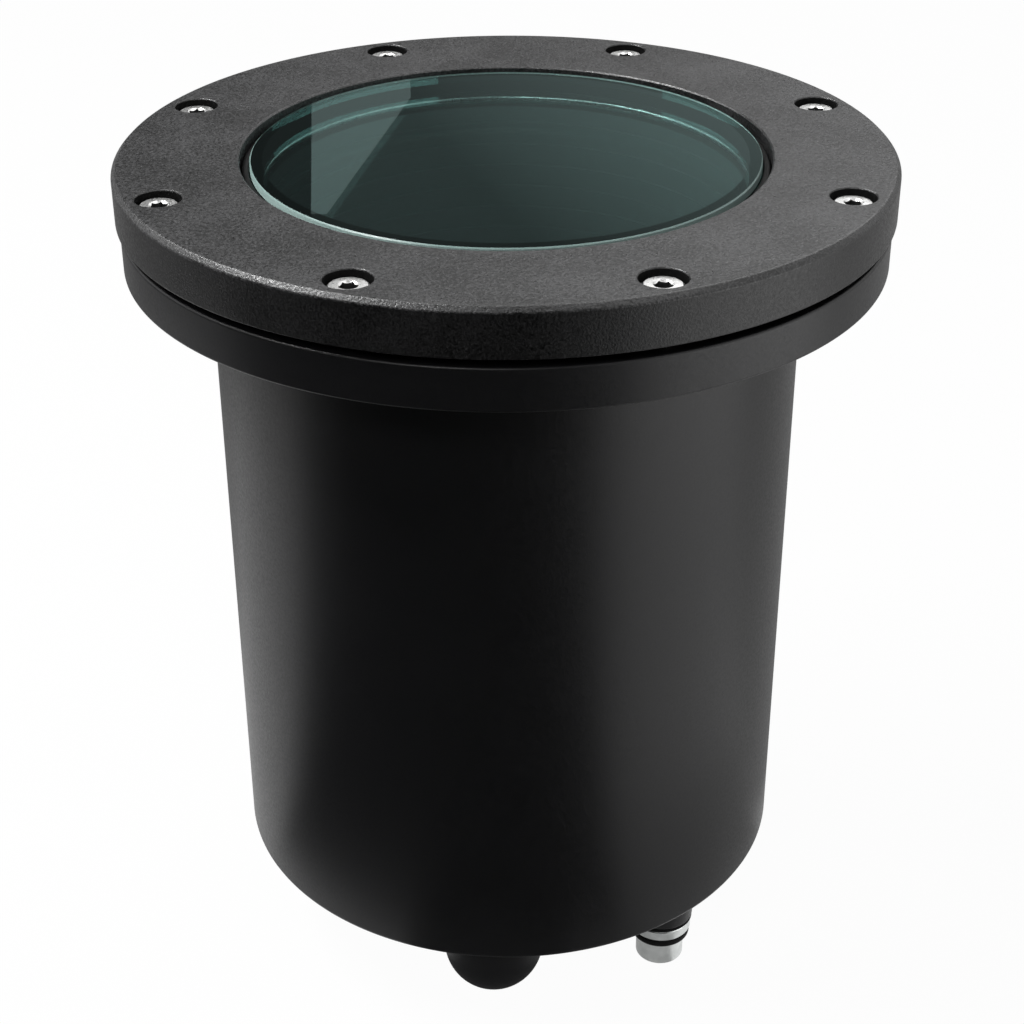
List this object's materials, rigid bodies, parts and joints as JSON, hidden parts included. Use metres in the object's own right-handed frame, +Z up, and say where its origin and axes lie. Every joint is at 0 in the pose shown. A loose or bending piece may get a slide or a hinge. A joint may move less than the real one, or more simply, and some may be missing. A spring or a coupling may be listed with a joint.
{
  "type": "in-ground well light",
  "caption": "Round black in-ground well light: screwed cover ring with thick glass, deep canister, and a lamp head that turns and tilts inside.",
  "frame": {"origin": "on the ground plane under the three feet, on the axis of the canister", "axes": "+Z up along the canister and the light beam; -Y to the front, where one foot stands; the cable gland is at +X -Y"},
  "size_m": [0.2, 0.2, 0.2295],
  "materials": {
    "ring_coat": "fine sand-textured powder coat, charcoal black",
    "body_coat": "smooth satin black powder coat",
    "lens_glass": "clear toughened glass, green at the edge",
    "black_rubber": "matt black silicone rubber",
    "stainless": "turned stainless steel",
    "gland_nickel": "satin nickel plate",
    "baffle_black": "matt black anti-glare paint",
    "zinc_sheet": "zinc-plated sheet steel",
    "cast_aluminium": "bead-blasted die-cast aluminium",
    "bezel_black": "black anodised",
    "reflector_bright": "bright anodised aluminium",
    "lamp_glass": "clear glass",
    "board_white": "white solder mask",
    "phosphor": "yellow phosphor",
    "white_plastic": "white moulded plastic",
    "driver_plastic": "dark grey moulded plastic",
    "terminal_plastic": "off-white polyamide",
    "brass": "plain brass",
    "nylon": "natural nylon",
    "foot_rubber": "satin black moulded rubber"
  },
  "bodies": {
    "housing": {"canister": "body_coat", "flange_gasket": "black_rubber", "glare_baffle": "baffle_black", "gear_tray": "zinc_sheet", "tray_screws": "stainless", "driver_case": "driver_plastic", "driver_lid": "driver_plastic", "driver_screws": "stainless", "terminal_block": "terminal_plastic", "terminal_clamp_screws": "brass", "terminal_fixing_screws": "stainless", "earth_screw": "brass", "turntable_washer": "nylon", "pivot_bolt": "stainless", "pivot_nut": "stainless", "gland_washer": "black_rubber", "gland_body": "gland_nickel", "gland_seal": "black_rubber", "gland_nut": "gland_nickel", "foot_1": "foot_rubber", "foot_2": "foot_rubber", "foot_3": "foot_rubber", "foot_studs": "stainless"},
    "cover": {"cover_ring": "ring_coat", "lens_glass": "lens_glass", "lens_gasket": "black_rubber", "cover_screws": "stainless", "screw_retainers": "black_rubber"},
    "turntable": {"yoke": "zinc_sheet"},
    "lamp_head": {"heat_sink": "cast_aluminium", "led_board": "board_white", "led_emitter": "phosphor", "led_holder": "white_plastic", "reflector": "reflector_bright", "lamp_seal": "black_rubber", "lamp_lens": "lamp_glass", "lamp_bezel": "bezel_black", "bezel_screws": "stainless", "tilt_screws": "stainless", "tilt_washers": "nylon"}
  },
  "joints": [
    {"name": "cover_lift", "type": "slide", "parent": "housing", "child": "cover", "axis": [0, 0, 1], "range_m": [0, 0.06]},
    {"name": "turntable_turn", "type": "hinge", "parent": "housing", "child": "turntable", "pos_m": [0, 0, 0.07815], "axis": [0, 0, 1], "range_deg": [-180, 180]},
    {"name": "lamp_tilt", "type": "hinge", "parent": "turntable", "child": "lamp_head", "pos_m": [0, 0, 0.12865], "axis": [1, 0, 0], "range_deg": [-20, 20]}
  ]
}
